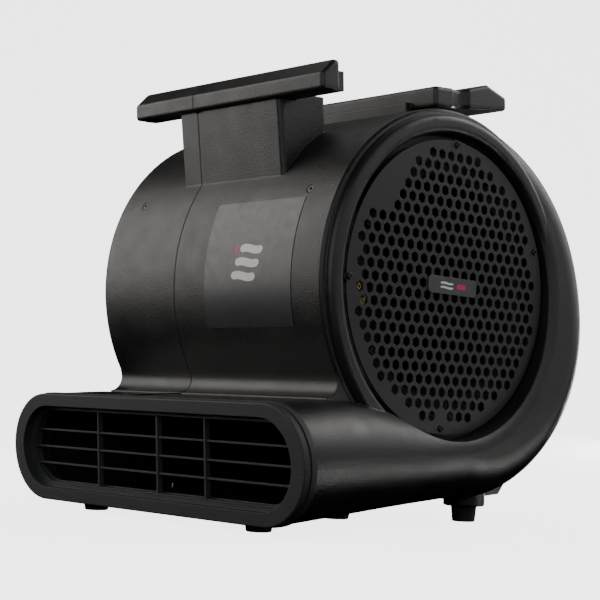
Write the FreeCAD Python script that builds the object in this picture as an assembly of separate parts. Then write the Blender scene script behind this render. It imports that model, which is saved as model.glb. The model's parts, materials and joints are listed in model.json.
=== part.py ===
import FreeCAD, Part
import math
import os
from FreeCAD import Vector

# Centrifugal air mover with a snail-shell housing, a twin-inlet blower wheel and a low wide outlet.
# All lengths are in millimetres.  The parts are drawn in the housing's own frame: the origin is on
# the wheel axis, +X is the right inlet, -Y is the outlet side and +Z is up.  The last step tips
# the housing nose-down by TILT and sets its feet on the floor, so that the finished frame has its
# origin on the floor under the middle of the machine.

# Stance
TILT = 4.0
AXIS_Y = 8.2
AXIS_Z = 242.7

# Housing shell
DRUM_R = 182.0
VOLUTE_R = 243.0
DRUM_HALF = 170.5
WALL = 4.0
SEAM_X = -48.0
SEAM_GAP = 0.25
BEAD_IN = 156.5
BEAD_OUT = 176.5
BEAD_CREST = 178.0
SIDE_WALL_OUT = 160.0
RECESS_R = 156.0
INLET_R = 118.0
BASE_Z = -216.0
DUCT_TOP_Z = -104.5
DUCT_END_Y = -247.0
NECK_FILLET = 15.0

# Outlet collar and louvre grille
COLLAR_FRONT_Y = -262.0
COLLAR_HALF = 228.5
COLLAR_R = 56.0
COLLAR_Z = -160.5
OPENING_HALF = 211.0
OPENING_R = 43.0
GRILLE_Y = -251.0
GRILLE_HALF = 207.0
GRILLE_R = 40.0
GRILLE_DEPTH = 6.0
LOUVRE_Z = (-143.5, -161.5, -179.0)
LOUVRE_BAR_X = (-90.0, 7.0, 80.0)

# Inlet grilles: flat steel sheet with hexagonal holes
DISC_R = 150.0
DISC_FACE_X = 172.0
DISC_T = 1.5
HOLE_PITCH = 13.9
HOLE_FLATS = 9.8
HOLE_LIMIT_R = 138.3
HOLE_TURN = 5.0
GRILLE_SCREWS = ((15.5, 144.8), (84.0, 147.0), (176.0, 146.2), (262.5, 143.8))
HOLE_SCREW_GAP = 14.2
HOLE_ROW_Y = 0.7
HOLE_ROW_Z = 1.2
BADGE_L = 74.0
BADGE_H = 17.5
BADGE_T = 1.2

# Stands on top of the drum
STAND_BASE_Z = 191.0
STAND_EDGE_Z = 207.5
STAND_TOP_Z = 221.5
PEDESTAL_HALF = 79.0
PEDESTAL_FRONT_Y = -141.5
PEDESTAL_BACK_Y = -82.0
FRONT_BAR_Y = -153.0
FRONT_BAR_BACK_Y = -129.0
FRONT_LIP_BACK_Y = -122.0
REAR_BAR_Y = 11.0
REAR_BAR_BACK_Y = 127.0
BAR_HALF = 148.0
GROOVE_R = 20.0
GROOVE_DEPTH = 5.0
GROOVE_Y = 52.0
REAR_PEDESTAL_HALF = 112.0

# Blower wheel
WHEEL_R = 122.0
BLADE_IN_R = 101.0
WHEEL_HALF = 100.0
BLADE_COUNT = 42
PLATE_X = 14.0
WHEEL_RING_IN_R = 110.0
RING_W = 8.0
HUB_R = 16.0
HUB_RIVET_R = 23.5
RIVET_COUNT = 6

# Motor
MOTOR_R = 60.0
MOTOR_X0 = -104.0
MOTOR_X1 = -18.0
CAP_T = 8.0
SHAFT_R = 6.35
BEARING_R = 17.5
BEARING_W = 11.0
MOTOR_BOLT_R = 64.5
STATOR_IN_R = 36.0
STACK_X0 = -84.0
STACK_X1 = -38.0
BRACKET_T = 3.0
GROMMET_T = 2.0
CAPACITOR_R = 15.0
CAPACITOR_X0 = -92.0
CAPACITOR_ORBIT_R = 79.0
CAPACITOR_ANGLE = 180.0

# Control panel on the back of the volute
PANEL_ANGLE = 25.0
PANEL_W = 221.0
PANEL_HALF_X = 92.0
PANEL_HALF_V = 36.0
PANEL_SCREW_SPOTS = ((-88.0, -32.0), (-88.0, 32.0), (88.0, -32.0), (88.0, 32.0))
GASKET_T = 1.0
PLATE_BACK = PANEL_W + GASKET_T
PLATE_FACE = PLATE_BACK + 3.0
ROCKER_X = -56.0
ROCKER_PIVOT = PLATE_FACE + 0.5
ROCKER_THROW = 24.0
KNOB_X = -12.0
BREAKER_X = 26.0
GLAND_X = 58.0
GLAND_BORE_R = 4.2

# Feet
FOOT_X = 128.0
FOOT_TOP_R = 13.8
FOOT_BOTTOM_R = 12.0
FRONT_FOOT_Y = -210.5
MIDDLE_FOOT_Y = -109.0
REAR_FOOT_Y = 83.0
FRONT_BOSS_Z = 9.7
MIDDLE_BOSS_Z = 17.2
REAR_BOSS_Z = 16.7
MIDDLE_FOOT_CLEAR = 8.9
FOOT_SCREW_REACH = 9.0

# Fasteners, small spots and thin sheets
CONE_T = 1.5
CONE_END_X = 100.0
CONE_FLANGE_R = 130.0
CONE_SCREW_R = 124.0
CONE_SCREW_ANGLES = (30.0, 90.0, 150.0, 210.0, 270.0, 330.0)
ARM_ANGLES = (90.0, 210.0, 330.0)
EARTH_SCREWS = ((179.6, 124.5), (186.5, 120.5))
COLLAR_SCREW_X = (-150.0, 0.0, 150.0)
COLLAR_SCREW_Y = -232.0
WRAP_SCREW_X = 130.0
WRAP_SCREW_ANGLE = 148.0
LABEL_X0 = 1.0
LABEL_X1 = 129.0
LABEL_T = 0.3
LABEL_TOP_ANGLE = 150.9
LABEL_SPAN = 41.0

X_AXIS = Vector(1, 0, 0)
Y_AXIS = Vector(0, 1, 0)
Z_AXIS = Vector(0, 0, 1)
ORIGIN = Vector(0, 0, 0)


# ---------------------------------------------------------------- helpers

def box(x0, x1, y0, y1, z0, z1):
    return Part.makeBox(x1 - x0, y1 - y0, z1 - z0, Vector(x0, y0, z0))


def rod_x(radius, x0, x1, y=0.0, z=0.0):
    return Part.makeCylinder(radius, x1 - x0, Vector(x0, y, z), X_AXIS)


def rod_y(radius, y0, y1, x=0.0, z=0.0):
    return Part.makeCylinder(radius, y1 - y0, Vector(x, y0, z), Y_AXIS)


def rod_z(radius, z0, z1, x=0.0, y=0.0):
    return Part.makeCylinder(radius, z1 - z0, Vector(x, y, z0), Z_AXIS)


def tube_x(outer, inner, x0, x1):
    return rod_x(outer, x0, x1).cut(rod_x(inner, x0 - 1.0, x1 + 1.0))


def polar(radius, degrees, x=0.0):
    """Point at an angle about the wheel axis, from +Y (rear) towards +Z (up)."""
    turn = math.radians(degrees)
    return Vector(x, radius * math.cos(turn), radius * math.sin(turn))


def mirrored(shape):
    return shape.mirror(ORIGIN, X_AXIS)


def turned(shape, degrees):
    """The shape turned about the wheel axis."""
    copy = shape.copy()
    copy.rotate(ORIGIN, X_AXIS, degrees)
    return copy


def prism(points, direction):
    """Straight-sided solid from an outline and the vector that it is pushed along."""
    wire = Part.makePolygon(list(points) + [points[0]])
    return Part.Face(wire).extrude(direction)


def prism_x(outline, x0, x1):
    """Prism along X from a list of (y, z) corners."""
    return prism([Vector(x0, y, z) for y, z in outline], Vector(x1 - x0, 0, 0))


def rounded_edges(shape, radius, test):
    """Fillets the edges that pass the test; leaves the shape as it was if they can't be."""
    edges = [edge for edge in shape.Edges if test(edge)]
    try:
        result = shape.makeFillet(radius, edges)
    except Exception:
        return shape
    if result.isValid() and result.Volume > 0:
        return result
    return shape


def along(edge, direction):
    """True for a straight edge that runs along the direction."""
    if edge.Curve.TypeId != "Part::GeomLine":
        return False
    return abs(edge.Curve.Direction.dot(direction)) > 0.999


def stadium(half_width, radius, centre_z, y0, y1):
    """Long slot shape with round ends, across the outlet, from y0 to y1."""
    reach = half_width - radius
    body = box(-reach, reach, y0, y1, centre_z - radius, centre_z + radius)
    for side in (-reach, reach):
        body = body.fuse(rod_y(radius, y0, y1, side, centre_z))
    return body.removeSplitter()


def largest(shape):
    return max(shape.Solids, key=lambda solid: solid.Volume)


# ---------------------------------------------------------------- housing

def smooth(t):
    t = min(max(t, 0.0), 1.0)
    return t * t * (3.0 - 2.0 * t)


def volute_radius(degrees):
    """Outer radius of the volute: it grows over the back and flattens onto the base."""
    if degrees >= -30.0:
        start = DRUM_R - 0.5
        return start + (VOLUTE_R - start) * smooth((90.0 - degrees) / 120.0)
    fall = (-30.0 - degrees) / 60.0
    return VOLUTE_R - (VOLUTE_R + BASE_Z) * fall ** 1.5


def volute_station(degrees):
    """Section sizes of the volute: inner edge, outer edge, half width, inner and outer rounding."""
    travel = (90.0 - degrees) / 180.0
    half = 162.0 + 32.0 * max(travel, 0.0) ** 0.7
    outer = volute_radius(degrees)
    outer_round = 8.0 + 36.0 * min(max(2.0 * travel, 0.0), 1.0) ** 0.8
    inner_round = 30.0
    inner = min(140.0, outer - inner_round - outer_round - 4.0)
    return inner, outer, half, inner_round, outer_round


def section_wire(origin, outward, inner, outer, half, inner_round, outer_round, inset):
    """Closed rounded section across the shell, pulled in all round by inset."""
    low = inner + inset
    high = outer - inset
    side = half - inset
    r_in = inner_round - inset
    r_out = outer_round - inset

    def at(x, d):
        return origin + outward * d + Vector(x, 0, 0)

    def corner(x_a, d_a, x_m, d_m, x_b, d_b):
        return Part.Arc(at(x_a, d_a), at(x_m, d_m), at(x_b, d_b)).toShape()

    def run(x_a, d_a, x_b, d_b):
        return Part.LineSegment(at(x_a, d_a), at(x_b, d_b)).toShape()

    k_in = r_in * (1.0 - math.sqrt(0.5))
    k_out = r_out * (1.0 - math.sqrt(0.5))
    edges = [
        run(-side + r_in, low, side - r_in, low),
        corner(side - r_in, low, side - k_in, low + k_in, side, low + r_in),
        run(side, low + r_in, side, high - r_out),
        corner(side, high - r_out, side - k_out, high - k_out, side - r_out, high),
        run(side - r_out, high, -side + r_out, high),
        corner(-side + r_out, high, -side + k_out, high - k_out, -side, high - r_out),
        run(-side, high - r_out, -side, low + r_in),
        corner(-side, low + r_in, -side + k_in, low + k_in, -side + r_in, low),
    ]
    return Part.Wire(edges)


def volute(inset):
    """Scroll skin through sections turned about the wheel axis, from the top round to the base."""
    wires = []
    for degrees in (100.0, 75.0, 50.0, 25.0, 0.0, -25.0, -50.0, -72.0, -90.0):
        wires.append(section_wire(ORIGIN, polar(1.0, degrees), *volute_station(degrees), inset))
    return Part.makeLoft(wires, True, False)


def duct(inset, end_y):
    """Outlet duct through upright sections, from under the wheel to the outlet."""
    down = Vector(0, 0, -1)
    stations = (
        (0.0, *volute_station(-90.0)),
        (-70.0, 127.0, -BASE_Z, 200.0, 38.0, 46.0),
        (-140.0, 110.0, -BASE_Z, 211.0, 50.0, 50.0),
        (-200.0, 105.0, -BASE_Z, 221.0, 53.0, 53.0),
        (end_y, -DUCT_TOP_Z, -BASE_Z, 226.0, 53.5, 53.5),
    )
    wires = []
    for y, inner, outer, half, inner_round, outer_round in stations:
        start = Vector(0, y, 0)
        wires.append(section_wire(start, down, inner, outer, half, inner_round, outer_round, inset))
    return Part.makeLoft(wires, True, False)


def neck_web(radius, duct_top, fillet, half):
    """Concave web between the front of the drum and the top of the duct."""
    centre_z = duct_top + fillet
    centre_y = -math.sqrt((radius + fillet) ** 2 - centre_z ** 2)
    on_drum = Vector(0, centre_y, centre_z) * (radius / (radius + fillet))
    on_duct = Vector(0, centre_y, duct_top)
    middle = (on_drum + on_duct) * 0.5 - Vector(0, centre_y, centre_z)
    middle.normalize()
    middle = Vector(0, centre_y, centre_z) + middle * fillet
    inside_low = Vector(0, -0.55 * radius, duct_top - 8.0)
    duct_low = Vector(0, centre_y, duct_top - 8.0)
    inside_top = Vector(0, -0.55 * radius, on_drum.z)
    edges = [
        Part.Arc(on_drum, middle, on_duct).toShape(),
        Part.LineSegment(on_duct, duct_low).toShape(),
        Part.LineSegment(duct_low, inside_low).toShape(),
        Part.LineSegment(inside_low, inside_top).toShape(),
        Part.LineSegment(inside_top, on_drum).toShape(),
    ]
    face = Part.Face(Part.Wire(edges))
    face.translate(Vector(-half, 0, 0))
    return face.extrude(Vector(2.0 * half, 0, 0))


def bead_ring():
    """Rounded moulded ring that stands round the right inlet recess."""
    crown = 7.5
    ring = tube_x(BEAD_OUT, BEAD_IN - 0.5, 150.0, BEAD_CREST)
    return rounded_edges(ring, crown, lambda e: e.BoundBox.XMin > BEAD_CREST - 0.1)


def front_bar(inset):
    """Front stand bar: upright nose, long front bevel and a lower lip along its back."""
    y0 = FRONT_BAR_Y + inset
    y1 = FRONT_BAR_BACK_Y - inset
    low = STAND_BASE_Z + inset
    top = STAND_TOP_Z - inset
    nose = STAND_EDGE_Z - 0.4 * inset
    half = BAR_HALF - inset
    bevel_y = min(y0 + 16.0, y1 - 5.0)
    outline = [(y0, low), (y1, low), (y1, top), (bevel_y, top), (y0, nose)]
    bar = prism_x(outline, -half, half)
    lip_y = FRONT_LIP_BACK_Y - inset
    lip = box(1.0 - half, half - 1.0, y1 - 10.0, lip_y, low, top - 11.0)
    if inset > 0.0:
        return bar.fuse(lip)
    lip = rounded_edges(lip, 2.5, lambda e: e.BoundBox.YMin > y1 - 9.0)
    return rounded_edges(bar, 4.0, lambda e: True).fuse(lip)


def front_pedestal(inset):
    """Block that carries the front bar; its front face leans forward as it rises."""
    foot = 105.0
    lean = 5.5
    base = 95.0
    outline = [
        (PEDESTAL_FRONT_Y + inset, foot),
        (PEDESTAL_FRONT_Y - lean + inset, STAND_BASE_Z + 6.0),
        (PEDESTAL_BACK_Y - inset, STAND_BASE_Z + 6.0),
        (PEDESTAL_BACK_Y - inset, base),
        (PEDESTAL_FRONT_Y + 45.0 + inset, base),
    ]
    block = prism_x(outline, -PEDESTAL_HALF + inset, PEDESTAL_HALF - inset)
    if inset > 0.0:
        return block
    return rounded_edges(block, 5.0, lambda e: abs(e.CenterOfMass.x) > 70.0 and e.BoundBox.ZLength > 50.0)


def rear_bar(inset):
    """Rear stand bar: upright front, level deck, raised back with a long bevel, a groove in each end."""
    y0 = REAR_BAR_Y + inset
    y1 = REAR_BAR_BACK_Y - inset
    low = STAND_BASE_Z + inset
    deck = STAND_EDGE_Z + 2.5 - inset
    top = STAND_TOP_Z - 2.5 - inset
    outline = [
        (y0, low - 3.0),
        (y1, low + 2.0),
        (y1, STAND_EDGE_Z),
        (y1 - 31.0, top),
        (y0 + 45.0, deck),
        (y0, deck),
    ]
    half = BAR_HALF - 2.0 * inset
    bar = prism_x(outline, -half, half)
    if inset > 0.0:
        return bar
    for side in (-1.0, 1.0):
        centre_x = side * (BAR_HALF - GROOVE_DEPTH + GROOVE_R)
        bar = bar.cut(rod_z(GROOVE_R, STAND_BASE_Z - 10.0, STAND_TOP_Z + 10.0, centre_x, GROOVE_Y))
    return rounded_edges(bar, 4.0, lambda e: e.Length > 6.0)


def rear_pedestal(inset):
    """Low block between the volute and the rear bar."""
    half = REAR_PEDESTAL_HALF - inset
    return box(-half, half, 4.0 + inset, 98.0 - inset, 120.0, STAND_BASE_Z + 5.0)


def panel_frame(shape):
    """Moves a piece drawn with +Y outwards and +Z up onto the sloping control panel."""
    return turned(shape, PANEL_ANGLE)


def panel_pad():
    """Flat moulded pad on the back of the volute for the control plate."""
    half_x = PANEL_HALF_X + 6.0
    half_v = PANEL_HALF_V + 6.0
    pad = box(-half_x, half_x, 185.0, PANEL_W, -half_v, half_v)
    pad = rounded_edges(pad, 8.0, lambda e: along(e, Y_AXIS))
    return panel_frame(rounded_edges(pad, 3.0, lambda e: e.BoundBox.YMin > PANEL_W - 0.1))


def foot_boss(side, y, z_low, radius):
    """Upright round boss, drawn in the floor frame and brought into the housing frame."""
    boss = rod_z(radius, z_low, z_low + 30.0, side * FOOT_X, y)
    boss = rounded_edges(boss, 2.0, lambda e: e.BoundBox.ZMax < z_low + 0.1)
    return from_floor(boss)


def from_floor(shape):
    """Brings a piece from the floor frame (y measured from the wheel axis) to the housing frame."""
    copy = shape.copy()
    copy.translate(Vector(0, 0, -AXIS_Z))
    copy.rotate(ORIGIN, X_AXIS, -TILT)
    return copy


def rear_skid(side):
    """Moulded skid behind each rear foot, for standing the machine on its back."""
    outline = [
        (98.0, -224.5),
        (125.0, -224.5),
        (136.0, -213.0),
        (152.0, -192.0),
        (152.0, -165.0),
        (98.0, -165.0),
    ]
    skid = prism_x(outline, 96.0 * side, 128.0 * side)
    return rounded_edges(skid, 3.0, lambda e: e.BoundBox.ZMax < -192.0)


def shell_outside():
    body = rounded_edges(rod_x(DRUM_R, -DRUM_HALF, DRUM_HALF), 3.0, lambda e: e.Length > 100.0)
    ring = bead_ring()
    pieces = [volute(0.0), duct(0.0, DUCT_END_Y)]
    pieces.append(neck_web(DRUM_R, DUCT_TOP_Z, NECK_FILLET, DRUM_HALF - 1.0))
    pieces += [ring, mirrored(ring)]
    pieces += [front_pedestal(0.0), front_bar(0.0), rear_pedestal(0.0), rear_bar(0.0)]
    pieces.append(panel_pad())
    for side in (-1.0, 1.0):
        pieces.append(foot_boss(side, FRONT_FOOT_Y, FRONT_BOSS_Z, 17.0))
        pieces.append(foot_boss(side, MIDDLE_FOOT_Y, MIDDLE_BOSS_Z, 17.0))
        pieces.append(foot_boss(side, REAR_FOOT_Y, REAR_BOSS_Z, 22.0))
        pieces.append(rear_skid(side))
    for piece in pieces:
        body = body.fuse(piece)
    return body


def shell_inside():
    inside_half = SIDE_WALL_OUT - WALL
    body = rod_x(DRUM_R - WALL, -inside_half, inside_half)
    pieces = [
        volute(WALL),
        duct(WALL, DUCT_END_Y - 5.0),
        front_pedestal(WALL),
        front_bar(WALL),
        rear_pedestal(WALL),
        rear_bar(WALL),
    ]
    for piece in pieces:
        body = body.fuse(piece)
    return body


def inlet_cuts():
    """Recess for the grille disc and the inlet hole behind it, right side."""
    recess = rod_x(RECESS_R, SIDE_WALL_OUT, 260.0)
    hole = rod_x(INLET_R, 120.0, 200.0)
    return recess.fuse(hole)


def side_linings(outside):
    """Flat side wall behind the grille disc and the round lining of its recess, right side."""
    wall = tube_x(RECESS_R + 5.0, INLET_R, SIDE_WALL_OUT - WALL, SIDE_WALL_OUT)
    lining = tube_x(RECESS_R + WALL, RECESS_R, SIDE_WALL_OUT - WALL, 230.0)
    return wall, lining.common(outside)


def grille_post(angle, orbit):
    """Post that the grille disc is screwed to, right side."""
    spot = polar(orbit, angle)
    back_of_disc = DISC_FACE_X - DISC_T
    return rod_x(5.5, SIDE_WALL_OUT - 1.0, back_of_disc, spot.y, spot.z)


def fastener_holes():
    """Every screw and bolt hole in the shell."""
    holes = []
    for angle, orbit in GRILLE_SCREWS:
        spot = polar(orbit, angle)
        holes.append(rod_x(1.9, SIDE_WALL_OUT + 1.0, 180.0, spot.y, spot.z))
    for angle in CONE_SCREW_ANGLES:
        spot = polar(CONE_SCREW_R, angle)
        holes.append(rod_x(2.7, SIDE_WALL_OUT - 8.0, SIDE_WALL_OUT + 1.0, spot.y, spot.z))
    holes += [mirrored(hole) for hole in holes]
    for angle, orbit in EARTH_SCREWS:
        spot = polar(orbit, angle)
        holes.append(rod_x(2.1, SIDE_WALL_OUT - 8.0, SIDE_WALL_OUT + 1.0, spot.y, spot.z))
    for side in (-1.0, 1.0):
        holes.append(wrap_screw(side, 4.4, 2.1, 0.4))
    for x, v in PANEL_SCREW_SPOTS:
        holes.append(panel_frame(rod_y(1.6, PANEL_W - 14.0, PANEL_W + 1.0, x, v)))
    for x in COLLAR_SCREW_X:
        holes.append(rod_z(2.1, BASE_Z - 2.0, BASE_Z + 8.0, x, COLLAR_SCREW_Y))
    for x, y, boss_z in foot_spots():
        holes.append(from_floor(rod_z(1.9, boss_z - 1.0, boss_z + FOOT_SCREW_REACH + 1.0, x, y)))
    return holes


def make_shell():
    outside = shell_outside()
    linings = side_linings(outside)
    cuts = inlet_cuts()
    shell = outside.cut(cuts).cut(mirrored(cuts))
    shell = shell.cut(shell_inside())
    for lining in linings:
        shell = shell.fuse(lining).fuse(mirrored(lining))
    for angle, orbit in GRILLE_SCREWS:
        post = grille_post(angle, orbit)
        shell = shell.fuse(post).fuse(mirrored(post))
    window_x = PANEL_HALF_X - 8.0
    window_v = PANEL_HALF_V - 8.0
    shell = shell.cut(panel_frame(box(-window_x, window_x, 150.0, 240.0, -window_v, window_v)))
    shell = shell.cut(box(-300, 300, -400, DUCT_END_Y, -300, 0))
    return shell.cut(Part.makeCompound(fastener_holes()))


def split_shell(shell):
    """The right and left housing halves, parted at the moulding seam."""
    right = largest(shell.common(box(SEAM_X + SEAM_GAP / 2.0, 400, -400, 400, -400, 400)))
    left = largest(shell.common(box(-400, SEAM_X - SEAM_GAP / 2.0, -400, 400, -400, 400)))
    return right, left


# ---------------------------------------------------------------- outlet

def outlet_collar():
    """Moulded collar that closes the duct edge and holds the louvre grille."""
    pocket_y = GRILLE_Y - 1.0
    lip_y = GRILLE_Y + GRILLE_DEPTH
    ring = stadium(COLLAR_HALF, COLLAR_R, COLLAR_Z, COLLAR_FRONT_Y, -254.5)
    ring = rounded_edges(ring, 1.6, lambda e: e.BoundBox.YMax < COLLAR_FRONT_Y + 0.1)
    pieces = [
        stadium(COLLAR_HALF - 1.5, COLLAR_R - 1.5, COLLAR_Z, -254.5, -253.3),
        stadium(COLLAR_HALF + 0.8, COLLAR_R + 0.8, COLLAR_Z, -253.3, DUCT_END_Y),
        stadium(217.0, 48.5, COLLAR_Z, DUCT_END_Y, -226.0),
    ]
    for piece in pieces:
        ring = ring.fuse(piece)
    ring = ring.cut(stadium(OPENING_HALF, OPENING_R, COLLAR_Z, COLLAR_FRONT_Y - 1.0, pocket_y))
    ring = ring.cut(stadium(GRILLE_HALF + 0.2, GRILLE_R + 0.2, COLLAR_Z, pocket_y, lip_y))
    ring = ring.cut(stadium(GRILLE_HALF - 3.0, GRILLE_R - 3.0, COLLAR_Z, lip_y, lip_y + 3.0))
    ring = ring.cut(stadium(213.5, 45.0, COLLAR_Z, lip_y + 3.0, -220.0))
    for x in COLLAR_SCREW_X:
        ring = ring.cut(rod_z(2.05, BASE_Z, BASE_Z + 20.0, x, COLLAR_SCREW_Y))
    for side in (-1.0, 1.0):
        high = FRONT_BOSS_Z + FOOT_SCREW_REACH + 2.0
        ring = ring.cut(from_floor(rod_z(2.6, FRONT_BOSS_Z, high, side * FOOT_X, FRONT_FOOT_Y)))
    return ring.removeSplitter()


def outlet_grille():
    """Louvre grille: slot-shaped rim, level louvres and upright bars."""
    y0 = GRILLE_Y
    y1 = GRILLE_Y + GRILLE_DEPTH
    rim = stadium(GRILLE_HALF, GRILLE_R, COLLAR_Z, y0, y1)
    rim = rim.cut(stadium(GRILLE_HALF - 2.0, GRILLE_R - 2.0, COLLAR_Z, y0 - 1.0, y1 + 1.0))
    inside = stadium(GRILLE_HALF - 1.0, GRILLE_R - 1.0, COLLAR_Z, y0, y1)
    for z in LOUVRE_Z:
        louvre = box(-GRILLE_HALF, GRILLE_HALF, y0 + 1.0, y1, z - 0.9, z + 0.9)
        rim = rim.fuse(louvre.common(inside))
    for x in LOUVRE_BAR_X:
        bar = box(x - 1.2, x + 1.2, y0, y1, COLLAR_Z - GRILLE_R, COLLAR_Z + GRILLE_R)
        rim = rim.fuse(bar.common(inside))
    return rim.removeSplitter()


def collar_screws():
    screws = []
    for x in COLLAR_SCREW_X:
        screw = rod_z(4.0, BASE_Z - 1.8, BASE_Z, x, COLLAR_SCREW_Y)
        screws.append(screw.fuse(rod_z(1.95, BASE_Z, BASE_Z + 9.0, x, COLLAR_SCREW_Y)))
    return Part.makeCompound(screws)


# ---------------------------------------------------------------- inlets

def hexagon(y, z, flats):
    """Hexagonal outline with its points up and down, on the grille's outer face."""
    radius = flats / math.sqrt(3.0)
    corners = []
    for k in range(7):
        turn = math.radians(30.0 + 60.0 * k)
        corners.append(Vector(DISC_FACE_X, y + radius * math.cos(turn), z + radius * math.sin(turn)))
    return Part.makePolygon(corners)


def hole_is_wanted(y, z, screws):
    """The pattern leaves out the rim, the screws, the badge and a blank patch at the front top."""
    if math.hypot(y - HOLE_ROW_Y, z - HOLE_ROW_Z) > HOLE_LIMIT_R:
        return False
    if z > 67.0 and y - z / math.sqrt(3.0) < -132.0:
        return False
    if abs(z - HOLE_ROW_Z) < 3.0 and abs(y) < 32.0:
        return False
    return all(math.hypot(y - s.y, z - s.z) > HOLE_SCREW_GAP for s in screws)


def inlet_grille():
    """Perforated disc, right side.  The rows of holes run HOLE_TURN nose-up to the housing."""
    screws = [polar(orbit, angle + HOLE_TURN) for angle, orbit in GRILLE_SCREWS]
    wires = [Part.Wire(Part.makeCircle(DISC_R, Vector(DISC_FACE_X, 0, 0), X_AXIS))]
    for spot in screws:
        centre = Vector(DISC_FACE_X, spot.y, spot.z)
        wires.append(Part.Wire(Part.makeCircle(2.0, centre, X_AXIS)))
    row_gap = HOLE_PITCH * math.sqrt(0.75)
    for row in range(-12, 13):
        z = HOLE_ROW_Z + row * row_gap
        shift = HOLE_ROW_Y + 0.5 * HOLE_PITCH * (row % 2)
        for step in range(-11, 12):
            y = shift + step * HOLE_PITCH
            if hole_is_wanted(y, z, screws):
                wires.append(hexagon(y, z, HOLE_FLATS))
    face = Part.makeFace(wires, "Part::FaceMakerBullseye")
    return turned(face.extrude(Vector(-DISC_T, 0, 0)), -HOLE_TURN)


def grille_badge():
    """Plain rounded plate over the middle of the right grille."""
    half_y = BADGE_L / 2.0
    half_z = BADGE_H / 2.0
    plate = box(DISC_FACE_X, DISC_FACE_X + BADGE_T, -half_y, half_y, -half_z, half_z)
    plate.translate(Vector(0, 2.7, HOLE_ROW_Z))
    plate = rounded_edges(plate, 5.0, lambda e: along(e, X_AXIS))
    return turned(plate, -HOLE_TURN)


def pan_screw_x(x_face, y, z, head_r, head_h, shank_r, reach):
    """Screw whose head stands out along +X from x_face."""
    head = rod_x(head_r, x_face, x_face + head_h, y, z)
    head = rounded_edges(head, 0.45 * head_h, lambda e: e.BoundBox.XMin > x_face + head_h - 0.1)
    drive = rod_x(0.4 * head_r, x_face + 0.5 * head_h, x_face + head_h + 1.0, y, z)
    return head.cut(drive).fuse(rod_x(shank_r, x_face - reach, x_face, y, z))


def grille_screws():
    screws = []
    for angle, orbit in GRILLE_SCREWS:
        spot = polar(orbit, angle)
        screws.append(pan_screw_x(DISC_FACE_X, spot.y, spot.z, 3.4, 2.0, 1.8, 9.0))
    return Part.makeCompound(screws)


def inlet_cone(angles, earth_spots):
    """Bell-mouth ring that leads the air into the wheel, right side."""
    face_x = SIDE_WALL_OUT
    flange_x = face_x + CONE_T
    edges = [
        Part.Arc(Vector(face_x, 117.5, 0), Vector(136.0, 108.5, 0), Vector(CONE_END_X, 106.0, 0)).toShape(),
        Part.LineSegment(Vector(CONE_END_X, 106.0, 0), Vector(CONE_END_X, 104.5, 0)).toShape(),
        Part.Arc(Vector(CONE_END_X, 104.5, 0), Vector(136.5, 107.0, 0), Vector(flange_x, 115.9, 0)).toShape(),
        Part.LineSegment(Vector(flange_x, 115.9, 0), Vector(flange_x, CONE_FLANGE_R, 0)).toShape(),
        Part.LineSegment(Vector(flange_x, CONE_FLANGE_R, 0), Vector(face_x, CONE_FLANGE_R, 0)).toShape(),
        Part.LineSegment(Vector(face_x, CONE_FLANGE_R, 0), Vector(face_x, 117.5, 0)).toShape(),
    ]
    cone = Part.Face(Part.Wire(edges)).revolve(ORIGIN, X_AXIS, 360.0)
    for angle in angles:
        spot = polar(CONE_SCREW_R, angle)
        cone = cone.cut(rod_x(2.7, face_x - 1.0, flange_x + 1.0, spot.y, spot.z))
    for angle, orbit in earth_spots:
        spot = polar(orbit, angle)
        cone = cone.cut(rod_x(2.1, face_x - 1.0, flange_x + 1.0, spot.y, spot.z))
    return cone


def cone_screws(angles):
    screws = []
    for angle in angles:
        spot = polar(CONE_SCREW_R, angle)
        screws.append(pan_screw_x(SIDE_WALL_OUT + CONE_T, spot.y, spot.z, 4.0, 2.4, 2.4, 7.0))
    return Part.makeCompound(screws)


def earth_screws():
    """Brass screws at the front of the right inlet ring."""
    screws = []
    for angle, orbit in EARTH_SCREWS:
        spot = polar(orbit, angle)
        screws.append(pan_screw_x(SIDE_WALL_OUT + CONE_T, spot.y, spot.z, 3.6, 2.6, 2.0, 9.0))
    return Part.makeCompound(screws)


# ---------------------------------------------------------------- blower wheel

def one_blade(x0, x1):
    """Forward-curved blade; its tip leads in the running direction."""
    root = polar(BLADE_IN_R, 0.0, x0)
    middle = polar(0.5 * (BLADE_IN_R + WHEEL_R) + 0.3, -1.5, x0)
    tip = polar(WHEEL_R, -7.0, x0)
    tip_back = polar(WHEEL_R - 0.4, -7.6, x0)
    middle_back = polar(0.5 * (BLADE_IN_R + WHEEL_R) + 0.1, -2.15, x0)
    root_back = polar(BLADE_IN_R, -0.7, x0)
    edges = [
        Part.Arc(root, middle, tip).toShape(),
        Part.LineSegment(tip, tip_back).toShape(),
        Part.Arc(tip_back, middle_back, root_back).toShape(),
        Part.LineSegment(root_back, root).toShape(),
    ]
    return Part.Face(Part.Wire(edges)).extrude(Vector(x1 - x0, 0, 0))


def blade_set(x0, x1):
    blade = one_blade(x0, x1)
    step = 360.0 / BLADE_COUNT
    return Part.makeCompound([turned(blade, step * k) for k in range(BLADE_COUNT)])


def wheel_rings():
    ring = tube_x(WHEEL_R + 1.0, WHEEL_RING_IN_R, WHEEL_HALF - RING_W, WHEEL_HALF)
    return Part.makeCompound([ring, mirrored(ring)])


def wheel_plate():
    plate = rod_x(WHEEL_R, PLATE_X - 1.0, PLATE_X + 1.0)
    plate = plate.cut(rod_x(HUB_R + 0.02, PLATE_X - 2.0, PLATE_X + 2.0))
    for k in range(RIVET_COUNT):
        spot = polar(HUB_RIVET_R, 360.0 * k / RIVET_COUNT)
        plate = plate.cut(rod_x(2.05, PLATE_X - 2.0, PLATE_X + 2.0, spot.y, spot.z))
    return plate


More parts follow.
